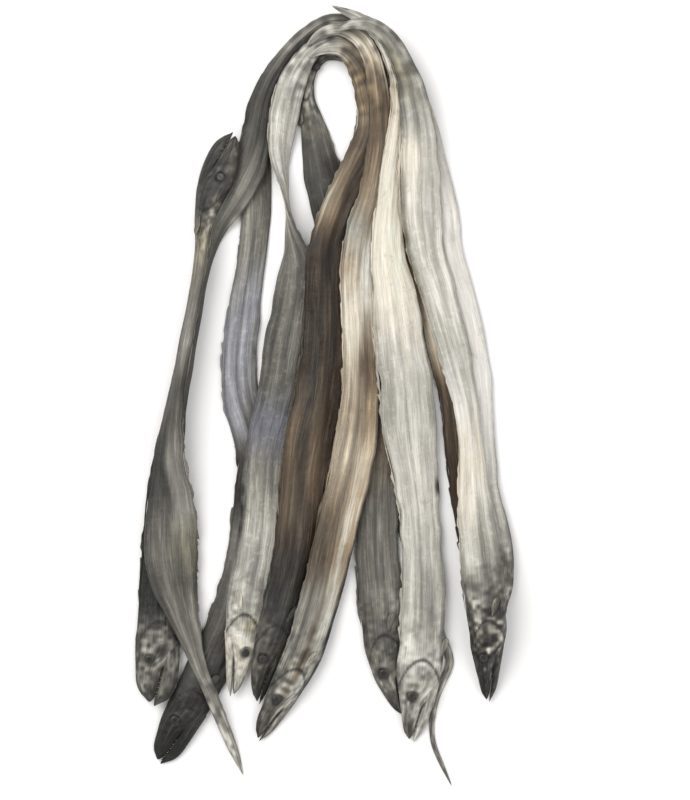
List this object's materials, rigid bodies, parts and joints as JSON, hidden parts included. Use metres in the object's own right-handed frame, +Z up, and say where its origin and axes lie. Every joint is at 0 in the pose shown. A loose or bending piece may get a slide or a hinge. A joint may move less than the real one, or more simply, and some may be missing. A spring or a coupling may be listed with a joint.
{
  "type": "bunch of dried ribbonfish",
  "caption": "Bunch of long, flat dried ribbonfish whose tails cross over a hanging loop, laid flat with the heads spread at the other end.",
  "frame": {"origin": "on the surface the bunch lies on, below the middle of its length and width", "axes": "+Y from the heads towards the crossed tails and the loop, +Z up from the surface, +X to the right of the shown side"},
  "size_m": [0.2644, 0.5446, 0.0267],
  "materials": {
    "pale_skin": "dried silvery fish skin, cream to light grey, satin",
    "silver_grey_skin": "dried fish skin, silver grey with blue-grey sides, satin",
    "dark_grey_skin": "dried fish skin, dark grey, satin",
    "tan_skin": "dried fish skin, oily tan, satin",
    "brown_skin": "dried fish skin, dark oily brown, satin",
    "eye": "shrunken dark eye, glossy",
    "tooth": "off-white teeth, satin"
  },
  "bodies": {
    "root": {"ribbonfish_tail_down": "dark_grey_skin", "ribbonfish_middle_right": "brown_skin", "ribbonfish_dark_strip": "brown_skin", "ribbonfish_far_right": "pale_skin", "ribbonfish_left_lower": "dark_grey_skin", "ribbonfish_left_rear": "dark_grey_skin", "ribbonfish_leaf": "silver_grey_skin", "ribbonfish_brown": "brown_skin", "ribbonfish_tan": "tan_skin", "ribbonfish_cream": "pale_skin", "ribbonfish_right": "pale_skin", "ribbonfish_left_front": "tan_skin"}
  },
  "joints": []
}
